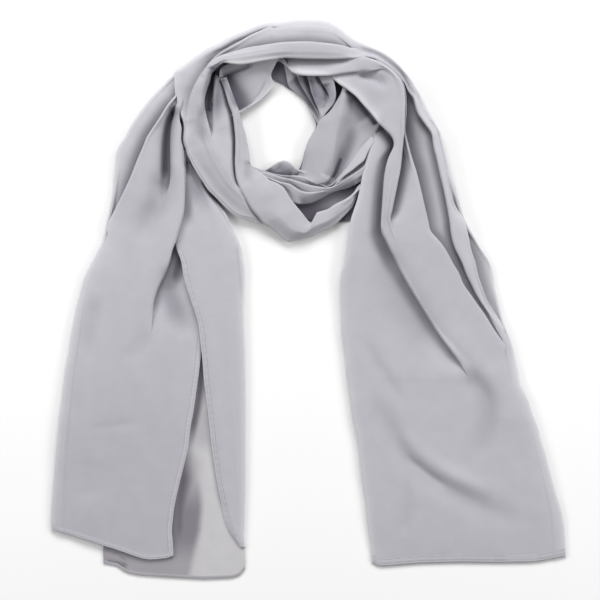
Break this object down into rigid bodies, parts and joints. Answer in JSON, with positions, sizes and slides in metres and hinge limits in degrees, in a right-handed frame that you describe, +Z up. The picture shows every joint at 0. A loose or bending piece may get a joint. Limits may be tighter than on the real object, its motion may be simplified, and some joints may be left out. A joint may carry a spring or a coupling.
{
  "type": "hijab headscarf",
  "caption": "Long rectangular chiffon headscarf laid flat, gathered in lengthwise pleats and wound once round an open neck loop, with both tails spread below.",
  "frame": {"origin": "under the middle of the scarf's outline, on the surface it lies on", "axes": "+Z up out of the surface the scarf lies on; +Y from the tails' hems towards the top of the loop; +X to the right as seen from above"},
  "size_m": [0.5617, 0.608, 0.028],
  "materials": {
    "cloth": "matte crepe chiffon, cool light grey"
  },
  "bodies": {
    "root": {"loop_left": "cloth", "loop_top": "cloth", "loop_inner_left": "cloth", "loop_right_inner": "cloth", "loop_bottom_plies": "cloth", "loop_inner_back": "cloth", "loop_right_plies": "cloth", "loop_under": "cloth", "tail_right": "cloth", "tail_left_main": "cloth", "tail_left_inner": "cloth", "tail_left_under": "cloth"}
  },
  "joints": []
}
